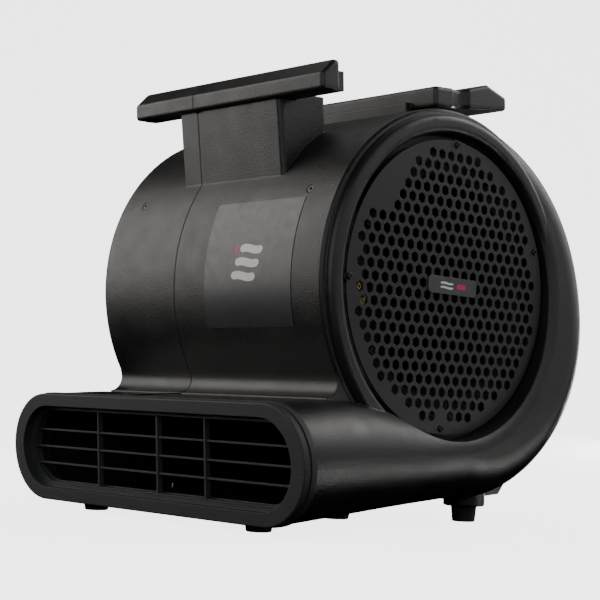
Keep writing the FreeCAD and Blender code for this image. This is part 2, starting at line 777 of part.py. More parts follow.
def wheel_hub():
    hub = rod_x(HUB_R, PLATE_X - 1.0, PLATE_X + 26.0)
    hub = hub.fuse(rod_x(30.0, PLATE_X + 1.0, PLATE_X + 4.0))
    hub = hub.cut(rod_x(SHAFT_R + 0.01, PLATE_X - 5.0, PLATE_X + 30.0))
    hub = hub.cut(rod_z(3.0, SHAFT_R, HUB_R + 1.0, PLATE_X + 16.0, 0.0))
    for k in range(RIVET_COUNT):
        spot = polar(HUB_RIVET_R, 360.0 * k / RIVET_COUNT)
        hub = hub.cut(rod_x(2.05, PLATE_X - 2.0, PLATE_X + 6.0, spot.y, spot.z))
    return hub


def hub_rivets():
    rivets = []
    for k in range(RIVET_COUNT):
        spot = polar(HUB_RIVET_R, 360.0 * k / RIVET_COUNT)
        rivet = rod_x(2.0, PLATE_X - 1.0, PLATE_X + 4.0, spot.y, spot.z)
        rivet = rivet.fuse(rod_x(3.6, PLATE_X - 2.4, PLATE_X - 1.0, spot.y, spot.z))
        rivets.append(rivet.fuse(rod_x(3.6, PLATE_X + 4.0, PLATE_X + 5.6, spot.y, spot.z)))
    return Part.makeCompound(rivets)


def hub_set_screw():
    return rod_z(2.95, SHAFT_R + 0.05, HUB_R + 0.5, PLATE_X + 16.0, 0.0)


# ---------------------------------------------------------------- motor

def bolt_angles():
    return [45.0 + 90.0 * k for k in range(4)]


def motor_shell():
    return tube_x(MOTOR_R, MOTOR_R - 2.5, MOTOR_X0, MOTOR_X1)


def motor_cap():
    """Die-cast end cap with a bearing pocket and four bolt ears, wheel side, about MOTOR_X1."""
    inner_x = MOTOR_X1
    outer_x = MOTOR_X1 + CAP_T
    cap = rod_x(MOTOR_R, inner_x, outer_x)
    cap = cap.fuse(rod_x(MOTOR_R - 2.6, inner_x - 3.0, inner_x))
    cap = cap.fuse(rod_x(24.0, inner_x - 5.0, outer_x + 4.0))
    for angle in bolt_angles():
        spot = polar(MOTOR_BOLT_R, angle)
        cap = cap.fuse(rod_x(6.0, inner_x, outer_x, spot.y, spot.z))
    for angle in bolt_angles():
        spot = polar(MOTOR_BOLT_R, angle)
        cap = cap.cut(rod_x(2.6, inner_x - 1.0, outer_x + 1.0, spot.y, spot.z))
    cap = cap.cut(rod_x(BEARING_R, inner_x - 6.0, inner_x - 5.0 + BEARING_W))
    return cap.cut(rod_x(SHAFT_R + 1.2, inner_x - 6.0, outer_x + 6.0))


def end_for_end(shape):
    """The same piece turned round to the other end of the motor."""
    middle = Vector(0.5 * (MOTOR_X0 + MOTOR_X1), 0, 0)
    return shape.mirror(middle, X_AXIS)


def bearing_x():
    return MOTOR_X1 - 5.0


def both_ends(shape):
    return Part.makeCompound([shape, end_for_end(shape)])


def bearing_outer():
    x0 = bearing_x()
    ring = tube_x(BEARING_R, BEARING_R - 3.2, x0, x0 + BEARING_W)
    return both_ends(ring)


def bearing_inner():
    x0 = bearing_x()
    ring = tube_x(SHAFT_R + 2.9, SHAFT_R, x0, x0 + BEARING_W)
    return both_ends(ring)


def bearing_balls():
    middle_x = bearing_x() + 0.5 * BEARING_W
    orbit = 0.5 * (BEARING_R - 3.2 + SHAFT_R + 2.9)
    balls = []
    for k in range(8):
        ball = Part.makeSphere(2.4)
        ball.translate(polar(orbit, 45.0 * k, middle_x))
        balls += [ball, end_for_end(ball)]
    return Part.makeCompound(balls)


def stator_stack():
    return tube_x(MOTOR_R - 2.6, STATOR_IN_R, STACK_X0, STACK_X1)


def stator_windings():
    coil = tube_x(MOTOR_R - 6.0, STATOR_IN_R + 2.5, STACK_X1, STACK_X1 + 11.0)
    coil = rounded_edges(coil, 4.0, lambda e: e.BoundBox.XMin > STACK_X1 + 10.0)
    return both_ends(coil)


def rotor():
    body = rod_x(STATOR_IN_R - 0.5, STACK_X0, STACK_X1)
    body = body.fuse(rod_x(STATOR_IN_R - 3.0, STACK_X0 - 7.0, STACK_X1 + 7.0))
    return body.cut(rod_x(SHAFT_R, STACK_X0 - 10.0, STACK_X1 + 10.0))


def motor_shaft():
    shaft = rod_x(SHAFT_R, MOTOR_X0 - 6.0, PLATE_X + 32.0)
    return shaft.makeChamfer(0.8, [e for e in shaft.Edges if e.Curve.TypeId == "Part::GeomCircle"])


def motor_bolts():
    """Long bolts that clamp both end caps and the bracket."""
    bolts = []
    head_x = MOTOR_X0 - CAP_T - BRACKET_T
    for angle in bolt_angles():
        spot = polar(MOTOR_BOLT_R, angle)
        bolt = rod_x(2.5, head_x, MOTOR_X1 + CAP_T, spot.y, spot.z)
        bolt = bolt.fuse(rod_x(4.4, head_x - 3.2, head_x, spot.y, spot.z))
        bolts.append(bolt.fuse(rod_x(4.4, MOTOR_X1 + CAP_T, MOTOR_X1 + CAP_T + 3.6, spot.y, spot.z)))
    return Part.makeCompound(bolts)


def motor_bracket():
    """Stamped spider: a ring behind the motor and three arms out to the left inlet ring."""
    ring_x = MOTOR_X0 - CAP_T
    seat_x = -(SIDE_WALL_OUT + CONE_T + GROMMET_T)
    outline = [
        (ring_x, 50.0),
        (ring_x - BRACKET_T, 50.0),
        (ring_x - BRACKET_T, 66.0),
        (seat_x - BRACKET_T, 108.0),
        (seat_x - BRACKET_T, 130.0),
        (seat_x, 130.0),
        (seat_x, 109.5),
        (ring_x, 69.0),
    ]
    arm = prism([Vector(x, r, -8.0) for x, r in outline], Vector(0, 0, 16.0))
    bracket = tube_x(71.0, 26.0, ring_x - BRACKET_T, ring_x)
    for angle in ARM_ANGLES:
        bracket = bracket.fuse(turned(arm, angle))
    for angle in ARM_ANGLES:
        spot = polar(CONE_SCREW_R, angle)
        bracket = bracket.cut(rod_x(2.7, seat_x - 10.0, seat_x + 1.0, spot.y, spot.z))
    for angle in bolt_angles():
        spot = polar(MOTOR_BOLT_R, angle)
        bracket = bracket.cut(rod_x(2.6, ring_x - 10.0, ring_x + 1.0, spot.y, spot.z))
    return bracket


def bracket_grommets():
    """Rubber washers under the arm ends."""
    face_x = -(SIDE_WALL_OUT + CONE_T)
    grommets = []
    for angle in ARM_ANGLES:
        spot = polar(CONE_SCREW_R, angle)
        washer = rod_x(6.5, face_x - GROMMET_T, face_x, spot.y, spot.z)
        grommets.append(washer.cut(rod_x(2.7, face_x - 10.0, face_x + 1.0, spot.y, spot.z)))
    return Part.makeCompound(grommets)


def bracket_bolts():
    """Bolts through the arm ends, the inlet ring and the side wall, each with its nut."""
    head_x = -(SIDE_WALL_OUT + CONE_T + GROMMET_T + BRACKET_T)
    wall_x = -(SIDE_WALL_OUT - WALL)
    bolts = []
    for angle in ARM_ANGLES:
        spot = polar(CONE_SCREW_R, angle)
        bolt = rod_x(2.5, head_x, wall_x + 4.0, spot.y, spot.z)
        bolt = bolt.fuse(rod_x(4.6, head_x - 2.4, head_x, spot.y, spot.z))
        bolts.append(bolt.fuse(rod_x(4.6, wall_x, wall_x + 3.6, spot.y, spot.z)))
    return Part.makeCompound(bolts)


def capacitor():
    can = rod_x(CAPACITOR_R, CAPACITOR_X0, CAPACITOR_X0 + 56.0)
    can = rounded_edges(can, 1.5, lambda e: e.Length > 50.0)
    for y in (-4.5, 4.5):
        can = can.fuse(box(CAPACITOR_X0 - 7.0, CAPACITOR_X0, y - 0.4, y + 0.4, -3.0, 3.0))
    can.translate(Vector(0, CAPACITOR_ORBIT_R, 0))
    return turned(can, CAPACITOR_ANGLE)


def capacitor_clamp():
    """Strap round the capacitor with a foot on the motor shell."""
    x0 = CAPACITOR_X0 + 22.0
    strap = rod_x(CAPACITOR_R + 1.3, x0, x0 + 12.0, CAPACITOR_ORBIT_R, 0)
    strap = strap.fuse(box(x0, x0 + 12.0, 55.0, CAPACITOR_ORBIT_R, -9.0, 9.0))
    strap = strap.cut(rod_x(CAPACITOR_R + 0.05, x0 - 1.0, x0 + 13.0, CAPACITOR_ORBIT_R, 0))
    strap = strap.cut(rod_x(MOTOR_R + 0.05, x0 - 1.0, x0 + 13.0))
    return turned(largest(strap), CAPACITOR_ANGLE)


# ---------------------------------------------------------------- control panel

def centred_box(x, y0, y1, v, width, height):
    return box(x - width / 2.0, x + width / 2.0, y0, y1, v - height / 2.0, v + height / 2.0)


def panel_cutouts(y0, y1):
    """Openings in the control plate for the switch, the knob, the breaker and the cord gland."""
    return Part.makeCompound([
        centred_box(ROCKER_X, y0, y1, 0.0, 26.4, 22.4),
        rod_y(3.4, y0, y1, KNOB_X, 0.0),
        rod_y(6.1, y0, y1, BREAKER_X, 0.0),
        rod_y(8.1, y0, y1, GLAND_X, 0.0),
    ])


def panel_slab(half_x, half_v, y0, y1, radius):
    slab = box(-half_x, half_x, y0, y1, -half_v, half_v)
    slab = rounded_edges(slab, radius, lambda e: along(e, Y_AXIS))
    for x, v in PANEL_SCREW_SPOTS:
        slab = slab.cut(rod_y(1.7, y0 - 1.0, y1 + 1.0, x, v))
    return slab


def panel_gasket():
    gasket = panel_slab(PANEL_HALF_X, PANEL_HALF_V, PANEL_W, PANEL_W + GASKET_T, 6.0)
    inner = box(-PANEL_HALF_X + 8.0, PANEL_HALF_X - 8.0, PANEL_W - 1.0, PANEL_W + 3.0,
                -PANEL_HALF_V + 8.0, PANEL_HALF_V - 8.0)
    return panel_frame(gasket.cut(inner))


def control_plate():
    slab = panel_slab(PANEL_HALF_X, PANEL_HALF_V, PLATE_BACK, PLATE_FACE, 6.0)
    slab = slab.cut(panel_cutouts(PLATE_BACK - 1.0, PLATE_FACE + 1.0))
    return panel_frame(slab)


def panel_screws():
    screws = []
    for x, v in PANEL_SCREW_SPOTS:
        head = rod_y(3.2, PLATE_FACE, PLATE_FACE + 1.8, x, v)
        head = head.cut(rod_y(1.3, PLATE_FACE + 0.9, PLATE_FACE + 3.0, x, v))
        screws.append(panel_frame(head.fuse(rod_y(1.5, PLATE_FACE - 14.0, PLATE_FACE, x, v))))
    return Part.makeCompound(screws)


def switch_frame():
    """Body and bezel of the rocker switch, with the pocket that the rocker swings in."""
    frame = centred_box(ROCKER_X, PLATE_FACE - 20.0, PLATE_FACE, 0.0, 26.0, 22.0)
    frame = frame.fuse(centred_box(ROCKER_X, PLATE_FACE, PLATE_FACE + 2.0, 0.0, 30.0, 26.0))
    frame = frame.cut(rod_x(9.7, ROCKER_X - 10.4, ROCKER_X + 10.4, ROCKER_PIVOT, 0.0))
    return panel_frame(frame.cut(centred_box(ROCKER_X, ROCKER_PIVOT, PLATE_FACE + 6.0, 0.0, 20.8, 19.4)))


def switch_rocker():
    """Rocker with a shallow V face, at rest with its lower half pressed in."""
    outline = [(-1.0, -8.9), (3.6, -8.1), (2.0, 0.0), (3.6, 8.1), (-1.0, 8.9), (-7.0, 5.0), (-7.0, -5.0)]
    rocker = prism_x(outline, ROCKER_X - 10.0, ROCKER_X + 10.0)
    rocker = rounded_edges(rocker, 0.8, lambda e: along(e, X_AXIS) and e.BoundBox.YMin > 1.0)
    rocker.rotate(ORIGIN, X_AXIS, -ROCKER_THROW / 2.0)
    rocker.translate(Vector(0, ROCKER_PIVOT, 0))
    return panel_frame(rocker)


def speed_switch():
    """Rotary switch body behind the plate."""
    body = centred_box(KNOB_X, PLATE_BACK - 24.0, PLATE_BACK, 0.0, 30.0, 30.0)
    body = rounded_edges(body, 2.0, lambda e: along(e, Y_AXIS))
    return panel_frame(body.cut(rod_y(3.05, PLATE_BACK - 14.0, PLATE_BACK + 1.0, KNOB_X, 0.0)))


def knob_shaft():
    return panel_frame(rod_y(3.0, PLATE_BACK - 13.0, PLATE_FACE + 12.0, KNOB_X, 0.0))


def speed_knob():
    """Fluted knob with a raised pointer rib."""
    y0 = PLATE_FACE + 0.8
    knob = rod_y(14.0, y0, y0 + 4.0, KNOB_X, 0.0)
    knob = knob.fuse(rod_y(11.5, y0 + 4.0, y0 + 15.0, KNOB_X, 0.0))
    knob = rounded_edges(knob, 1.0, lambda e: e.BoundBox.YMin > y0 + 14.0)
    for k in range(12):
        turn = math.radians(30.0 * k + 15.0)
        flute = rod_y(1.8, y0 + 5.0, y0 + 16.0, KNOB_X + 12.4 * math.cos(turn), 12.4 * math.sin(turn))
        knob = knob.cut(flute)
    knob = knob.fuse(centred_box(KNOB_X, y0 + 14.0, y0 + 16.0, 5.5, 2.4, 10.0))
    return panel_frame(knob.cut(rod_y(3.0, y0 - 1.0, PLATE_FACE + 12.0, KNOB_X, 0.0)))


def breaker_body():
    """Thermal breaker: threaded neck through the plate, body behind it."""
    body = centred_box(BREAKER_X, PLATE_BACK - 24.0, PLATE_BACK, 0.0, 16.0, 26.0)
    body = body.fuse(rod_y(6.0, PLATE_BACK, PLATE_FACE + 3.4, BREAKER_X, 0.0))
    body = body.cut(rod_y(4.08, PLATE_FACE - 8.0, PLATE_FACE + 4.0, BREAKER_X, 0.0))
    return panel_frame(body)


def breaker_nut():
    nut = rod_y(8.6, PLATE_FACE, PLATE_FACE + 2.4, BREAKER_X, 0.0)
    nut = rounded_edges(nut, 0.8, lambda e: e.BoundBox.YMin > PLATE_FACE + 2.0)
    return panel_frame(nut.cut(rod_y(6.05, PLATE_FACE - 1.0, PLATE_FACE + 3.0, BREAKER_X, 0.0)))


def breaker_button():
    button = rod_y(4.0, PLATE_FACE - 4.5, PLATE_FACE + 7.0, BREAKER_X, 0.0)
    return panel_frame(rounded_edges(button, 1.0, lambda e: e.BoundBox.YMin > PLATE_FACE + 6.0))


def hex_rod_y(flats, y0, y1, x):
    radius = flats / math.sqrt(3.0)
    corners = []
    for k in range(6):
        turn = math.radians(60.0 * k)
        corners.append(Vector(x + radius * math.cos(turn), y0, radius * math.sin(turn)))
    return prism(corners, Vector(0, y1 - y0, 0))


def gland_body():
    """Cable gland: threaded body through the plate with a hexagon outside."""
    body = rod_y(8.0, PLATE_BACK - 9.0, PLATE_FACE + 12.0, GLAND_X, 0.0)
    body = body.fuse(hex_rod_y(22.0, PLATE_FACE, PLATE_FACE + 5.0, GLAND_X))
    return panel_frame(body.cut(rod_y(6.6, PLATE_BACK - 10.0, PLATE_FACE + 13.0, GLAND_X, 0.0)))


def gland_seal():
    """Rubber sleeve that grips a cord; its bore is the machine's cord entry."""
    seal = rod_y(6.55, PLATE_FACE - 2.0, PLATE_FACE + 12.0, GLAND_X, 0.0)
    return panel_frame(seal.cut(rod_y(GLAND_BORE_R, PLATE_FACE - 3.0, PLATE_FACE + 13.0, GLAND_X, 0.0)))


def gland_cap():
    """Domed nut that squeezes the seal."""
    y0 = PLATE_FACE + 5.3
    cap = rod_y(10.0, y0, y0 + 11.0, GLAND_X, 0.0)
    cap = rounded_edges(cap, 3.0, lambda e: e.BoundBox.YMin > y0 + 10.0)
    cap = cap.cut(rod_y(8.05, y0 - 1.0, y0 + 7.0, GLAND_X, 0.0))
    return panel_frame(cap.cut(rod_y(5.2, y0 - 1.0, y0 + 12.0, GLAND_X, 0.0)))


def gland_locknut():
    nut = hex_rod_y(22.0, PLATE_BACK - 5.0, PLATE_BACK, GLAND_X)
    return panel_frame(nut.cut(rod_y(8.05, PLATE_BACK - 6.0, PLATE_BACK + 1.0, GLAND_X, 0.0)))


# ---------------------------------------------------------------- feet, label, outside screws

def foot_spots():
    """x, y and boss height of every foot, in the floor frame."""
    spots = []
    for side in (-1.0, 1.0):
        spots.append((side * FOOT_X, FRONT_FOOT_Y, FRONT_BOSS_Z))
        spots.append((side * FOOT_X, MIDDLE_FOOT_Y, MIDDLE_BOSS_Z))
        spots.append((side * FOOT_X, REAR_FOOT_Y, REAR_BOSS_Z))
    return spots


def rubber_foot(x, y, z0, z1):
    """Tapered foot with a countersunk hole for its screw."""
    foot = Part.makeCone(FOOT_BOTTOM_R, FOOT_TOP_R, z1 - z0, Vector(x, y, z0), Z_AXIS)
    foot = rounded_edges(foot, 1.2, lambda e: e.BoundBox.ZMax < z0 + 0.1)
    foot = foot.cut(rod_z(5.2, z0 - 1.0, z1 - 4.0, x, y))
    return foot.cut(rod_z(2.3, z0 - 1.0, z1 + 1.0, x, y))


def feet(y, z0, z1):
    pair = [from_floor(rubber_foot(side * FOOT_X, y, z0, z1)) for side in (-1.0, 1.0)]
    return Part.makeCompound(pair)


def foot_screws():
    screws = []
    for x, y, boss_z in foot_spots():
        head_z = boss_z - 4.0
        screw = rod_z(4.4, head_z - 2.2, head_z, x, y)
        screw = screw.fuse(rod_z(1.85, head_z, boss_z + FOOT_SCREW_REACH, x, y))
        screws.append(from_floor(screw))
    return Part.makeCompound(screws)


def front_label():
    """Thin plain film that follows the front of the drum."""
    skin = DRUM_R + 0.1
    face = Part.Face(Part.makePolygon([
        Vector(LABEL_X0, skin, 0),
        Vector(LABEL_X1, skin, 0),
        Vector(LABEL_X1, skin + LABEL_T, 0),
        Vector(LABEL_X0, skin + LABEL_T, 0),
        Vector(LABEL_X0, skin, 0),
    ]))
    film = face.revolve(ORIGIN, X_AXIS, LABEL_SPAN)
    return turned(film, LABEL_TOP_ANGLE)


def wrap_screw(side, head_r, shank_r, clear):
    """Screw sunk in the front of the drum; clear adds room for its hole."""
    outward = polar(1.0, WRAP_SCREW_ANGLE)
    spot = polar(DRUM_R - 2.6, WRAP_SCREW_ANGLE, side * WRAP_SCREW_X)
    head = Part.makeCylinder(head_r, 2.2 + 4.0 * clear, spot, outward)
    shank = Part.makeCylinder(shank_r, 10.0 + clear, spot - outward * (10.0 + clear), outward)
    return head.fuse(shank)


def wrap_screws():
    screws = []
    outward = polar(1.0, WRAP_SCREW_ANGLE)
    for side in (-1.0, 1.0):
        spot = polar(DRUM_R - 1.6, WRAP_SCREW_ANGLE, side * WRAP_SCREW_X)
        drive = Part.makeCylinder(1.6, 4.0, spot, outward)
        screws.append(wrap_screw(side, 4.2, 1.9, 0.0).cut(drive))
    return Part.makeCompound(screws)


# ---------------------------------------------------------------- the whole machine

def build_all():
    right_shell, left_shell = split_shell(make_shell())
    left_free = [a for a in CONE_SCREW_ANGLES if a not in ARM_ANGLES]
    motor_cap_drive = motor_cap()
    return {
        "housing_right": right_shell,
        "housing_left": left_shell,
        "outlet_collar": outlet_collar(),
        "outlet_grille": outlet_grille(),
        "collar_screws": collar_screws(),
        "inlet_grille_right": inlet_grille(),
        "inlet_grille_left": mirrored(inlet_grille()),
        "grille_badge_right": grille_badge(),
        "grille_badge_left": mirrored(grille_badge()),
        "grille_screws_right": grille_screws(),
        "grille_screws_left": mirrored(grille_screws()),
        "inlet_ring_right": inlet_cone(CONE_SCREW_ANGLES, EARTH_SCREWS),
        "inlet_ring_left": mirrored(inlet_cone(CONE_SCREW_ANGLES, ())),
        "inlet_ring_screws_right": cone_screws(CONE_SCREW_ANGLES),
        "inlet_ring_screws_left": mirrored(cone_screws(left_free)),
        "earth_screws": earth_screws(),
        "wheel_plate": wheel_plate(),
        "wheel_blades_left": blade_set(-WHEEL_HALF + RING_W, PLATE_X - 1.0),
        "wheel_blades_right": blade_set(PLATE_X + 1.0, WHEEL_HALF - RING_W),
        "wheel_rings": wheel_rings(),
        "wheel_hub": wheel_hub(),
        "hub_rivets": hub_rivets(),
        "hub_set_screw": hub_set_screw(),
        "motor_shaft": motor_shaft(),
        "motor_rotor": rotor(),
        "bearing_inner_rings": bearing_inner(),
        "bearing_outer_rings": bearing_outer(),
        "bearing_balls": bearing_balls(),
        "motor_shell": motor_shell(),
        "motor_cap_drive": motor_cap_drive,
        "motor_cap_rear": end_for_end(motor_cap_drive),
        "motor_stator": stator_stack(),
        "motor_windings": stator_windings(),
        "motor_bolts": motor_bolts(),
        "motor_bracket": motor_bracket(),
        "bracket_grommets": bracket_grommets(),
        "bracket_bolts": bracket_bolts(),
        "capacitor": capacitor(),
        "capacitor_clamp": capacitor_clamp(),
        "control_plate": control_plate(),
        "panel_gasket": panel_gasket(),
        "panel_screws": panel_screws(),
        "power_switch_frame": switch_frame(),
        "power_switch_rocker": switch_rocker(),
        "speed_switch": speed_switch(),
        "speed_knob": speed_knob(),
        "speed_knob_shaft": knob_shaft(),
        "breaker_body": breaker_body(),
        "breaker_nut": breaker_nut(),
        "breaker_button": breaker_button(),
        "cord_gland": gland_body(),
        "cord_gland_seal": gland_seal(),
        "cord_gland_cap": gland_cap(),
        "cord_gland_locknut": gland_locknut(),
        "front_feet": feet(FRONT_FOOT_Y, 0.0, FRONT_BOSS_Z),
        "middle_feet": feet(MIDDLE_FOOT_Y, MIDDLE_FOOT_CLEAR, MIDDLE_BOSS_Z),
        "rear_feet": feet(REAR_FOOT_Y, 0.0, REAR_BOSS_Z),
        "foot_screws": foot_screws(),
        "front_label": front_label(),
        "wrap_screws": wrap_screws(),
    }


def to_floor(shape):
    """From the housing's frame to the finished frame: nose-down, feet on the floor."""
    placed = shape.copy()
    placed.rotate(ORIGIN, X_AXIS, TILT)
    placed.translate(Vector(0, AXIS_Y, AXIS_Z))
    return placed


os.makedirs("parts", exist_ok=True)
for node_name, node_shape in build_all().items():
    finished = to_floor(node_shape)
    finished.exportStep("parts/" + node_name + ".step")
    print(node_name, finished.isValid(), len(finished.Solids), round(finished.Volume / 1000.0, 1), "cm3")
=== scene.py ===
import json
import math

import bmesh
import bpy
from mathutils import Matrix, Vector


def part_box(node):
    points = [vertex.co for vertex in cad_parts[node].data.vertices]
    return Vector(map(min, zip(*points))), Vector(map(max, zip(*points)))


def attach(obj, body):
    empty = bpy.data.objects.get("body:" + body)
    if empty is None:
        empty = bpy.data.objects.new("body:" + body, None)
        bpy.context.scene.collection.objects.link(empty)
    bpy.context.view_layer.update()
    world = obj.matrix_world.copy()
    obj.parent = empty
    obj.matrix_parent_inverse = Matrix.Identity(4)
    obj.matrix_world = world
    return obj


# Looks of the air mover.  Lengths are in metres.  The housing's own frame has its origin on the wheel
# axis, and the machine stands with it tipped nose-down by TILT.

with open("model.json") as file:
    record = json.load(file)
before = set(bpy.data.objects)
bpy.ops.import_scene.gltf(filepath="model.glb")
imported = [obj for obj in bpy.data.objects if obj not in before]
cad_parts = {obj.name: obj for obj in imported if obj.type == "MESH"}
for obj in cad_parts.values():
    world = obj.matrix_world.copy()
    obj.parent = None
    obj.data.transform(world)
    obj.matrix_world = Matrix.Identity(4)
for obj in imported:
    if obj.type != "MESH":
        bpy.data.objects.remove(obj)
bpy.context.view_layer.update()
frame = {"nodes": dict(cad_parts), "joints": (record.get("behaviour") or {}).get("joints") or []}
NODES = frame["nodes"]
WHEEL_AXIS = Vector(frame["joints"][0]["pos_m"])
TILT = math.radians(4.0)

# Camera: a 90 mm lens, low in front of the right inlet
CAMERA_PLACE = WHEEL_AXIS + Vector((1.1723, -1.1564, -0.1124))
CAMERA_VIEW = Vector((-0.72483, 0.68616, 0.06177))
CAMERA_ROLL = math.radians(2.006)
CAMERA_LENS = 90.0

# Label film on the drum and badge plate on each grille, in the housing's frame
DRUM_RADIUS = 0.1824
LABEL_MIDDLE_X = 0.065
LABEL_MIDDLE_ANGLE = 171.5
BADGE_FACE_X = 0.1732
BADGE_TURN = -5.0
BADGE_MIDDLE = (0.0027, 0.0012)
MARK_PROUD = 0.00008

# Rounding that softens the edges of painted sheet, in the bump only
SHEET_EDGE = 0.0006

# Stage: its own glow, the glow behind it, and the point that the soft boxes face
STAGE_GLOW = 3.4
BACKGROUND_GLOW = 4.0
LIGHT_AIM = Vector((0.0, 0.0, 0.22))
WARM = (1.0, 0.97, 0.94)
NEARLY_WHITE = (1.0, 0.98, 0.96)
WHITE = (1.0, 1.0, 1.0)

# Control panel: its outward direction, the plate's face and the knob's place on it
PANEL_ANGLE = 25.0
PANEL_FACE = 0.225
KNOB_X = -0.012
KNOB_RIB_FACE = PANEL_FACE + 0.0168


# ---------------------------------------------------------------- placing

def housing_point(x, y, z):
    """A point of the housing's own frame in the finished frame."""
    turned = Matrix.Rotation(TILT, 3, "X") @ Vector((x, y, z))
    return turned + WHEEL_AXIS


def drum_point(x, degrees, radius):
    """Point on the drum: the angle runs from the rear of the machine up and over to the front."""
    turn = math.radians(degrees)
    return housing_point(x, radius * math.cos(turn), radius * math.sin(turn))


def panel_point(x, up, out):
    """Point on the control panel: x to the right inlet, up the slope, and out from the wheel axis."""
    turn = math.radians(PANEL_ANGLE)
    y = out * math.cos(turn) - up * math.sin(turn)
    z = out * math.sin(turn) + up * math.cos(turn)
    return housing_point(x, y, z)


def badge_point(side, across, up, proud):
    """Point on a badge plate, seen from outside: across runs along the plate, up is up."""
    turn = math.radians(BADGE_TURN)
    y0 = BADGE_MIDDLE[0] + side * across
    z0 = BADGE_MIDDLE[1] + up
    y = y0 * math.cos(turn) - z0 * math.sin(turn)
    z = y0 * math.sin(turn) + z0 * math.cos(turn)
    return housing_point(side * (BADGE_FACE_X + proud), y, z)


# ---------------------------------------------------------------- materials

class Shader:
    """A node material with its Principled shader and short calls for the nodes used here."""

    def __init__(self, name, color, roughness, metallic=0.0):
        self.material = bpy.data.materials.new(name)
        self.material.use_nodes = True
        self.tree = self.material.node_tree
        self.shader = self.tree.nodes["Principled BSDF"]
        self.set("Base Color", (*color, 1.0))
        self.set("Roughness", roughness)
        self.set("Metallic", metallic)
        self.place = self.node("ShaderNodeTexCoord").outputs["Object"]

    def node(self, kind, **values):
        made = self.tree.nodes.new(kind)
        for key, value in values.items():
            setattr(made, key, value)
        return made

    def link(self, source, target):
        self.tree.links.new(source, target)

    def set(self, socket, value):
        self.shader.inputs[socket].default_value = value

    def noise(self, size, detail=3.0, stretch=(1.0, 1.0, 1.0)):
        """Noise whose features are about size across."""
        mapping = self.node("ShaderNodeMapping")
        mapping.inputs["Scale"].default_value = stretch
        self.link(self.place, mapping.inputs["Vector"])
        made = self.node("ShaderNodeTexNoise")
        made.inputs["Scale"].default_value = 1.0 / size
        made.inputs["Detail"].default_value = detail
        self.link(mapping.outputs["Vector"], made.inputs["Vector"])
        return made.outputs["Fac"]

    def cells(self, size):
        """Cell pattern, as in leather grain."""
        made = self.node("ShaderNodeTexVoronoi", feature="SMOOTH_F1")
        made.inputs["Scale"].default_value = 1.0 / size
        made.inputs["Smoothness"].default_value = 0.6
        self.link(self.place, made.inputs["Vector"])
        return made.outputs["Distance"]

    def ranged(self, value, low, high, to_low, to_high):
        made = self.node("ShaderNodeMapRange")
        made.inputs["From Min"].default_value = low
        made.inputs["From Max"].default_value = high
        made.inputs["To Min"].default_value = to_low
        made.inputs["To Max"].default_value = to_high
        self.link(value, made.inputs["Value"])
        return made.outputs["Result"]

    def math(self, operation, a, b):
        made = self.node("ShaderNodeMath", operation=operation)
        for socket, value in zip(made.inputs, (a, b)):
            if isinstance(value, (int, float)):
                socket.default_value = value
            else:
                self.link(value, socket)
        return made.outputs["Value"]

    def mixed(self, factor, color_a, color_b):
        made = self.node("ShaderNodeMix", data_type="RGBA")
        self.link(factor, made.inputs["Factor"])
        made.inputs["A"].default_value = (*color_a, 1.0)
        made.inputs["B"].default_value = (*color_b, 1.0)
        return made.outputs["Result"]

    def edges(self, radius):
        """1 on outer and inner edges within about radius, 0 on open faces."""
        bevel = self.node("ShaderNodeBevel", samples=4)
        bevel.inputs["Radius"].default_value = radius
        geometry = self.node("ShaderNodeNewGeometry")
        dot = self.node("ShaderNodeVectorMath", operation="DOT_PRODUCT")
        self.link(bevel.outputs["Normal"], dot.inputs[0])
        self.link(geometry.outputs["True Normal"], dot.inputs[1])
        return self.ranged(dot.outputs["Value"], 0.99, 0.75, 0.0, 1.0)

    def bump(self, height, distance, strength=1.0, softened=0.0):
        """Bump from a height, over edges softened by a rounding of that radius."""
        made = self.node("ShaderNodeBump")
        made.inputs["Strength"].default_value = strength
        made.inputs["Distance"].default_value = distance
        self.link(height, made.inputs["Height"])
        if softened > 0.0:
            bevel = self.node("ShaderNodeBevel", samples=6)
            bevel.inputs["Radius"].default_value = softened
            self.link(bevel.outputs["Normal"], made.inputs["Normal"])
        self.link(made.outputs["Normal"], self.shader.inputs["Normal"])


def moulded(name, dark, light, roughness, grain, depth, softened=0.0, mottle=0.02, wear=0.0):
    """Moulded plastic: leather-like grain, patchy gloss and slightly polished edges."""
    s = Shader(name, dark, roughness)
    patches = s.noise(mottle, 4.0)
    grain_noise = s.noise(grain, 2.0)
    grain_cells = s.cells(1.6 * grain)
    height = s.math("ADD", grain_noise, s.math("MULTIPLY", grain_cells, 0.8))
    color = s.mixed(s.ranged(patches, 0.35, 0.7, 0.0, 1.0), dark, light)
    s.link(color, s.shader.inputs["Base Color"])
    gloss = s.ranged(patches, 0.3, 0.7, roughness - 0.05, roughness + 0.05)
    if wear > 0.0:
        gloss = s.math("SUBTRACT", gloss, s.math("MULTIPLY", s.edges(0.0015), wear))
    s.link(gloss, s.shader.inputs["Roughness"])
    s.bump(height, depth, 1.0, softened)
    return s.material


def coated(name, color, light, roughness):
    """Powder coat: fine orange peel, with the edges painted lighter, partly as rubbed wear and partly as a
    painted highlight.
    """
    s = Shader(name, color, roughness)
    peel = s.noise(0.0012, 2.0)
    patches = s.noise(0.05, 4.0)
    # edges painted lighter: partly rubbed wear, partly a painted highlight along every edge
    worn_and_highlit = s.math("MULTIPLY", s.edges(0.0008), s.ranged(s.noise(0.004, 3.0), 0.35, 0.65, 0.2, 1.0))
    s.link(s.mixed(worn_and_highlit, color, light), s.shader.inputs["Base Color"])
    s.link(s.ranged(patches, 0.3, 0.7, roughness - 0.06, roughness + 0.06), s.shader.inputs["Roughness"])
    s.bump(peel, 0.00005, 1.0, SHEET_EDGE)
    return s.material


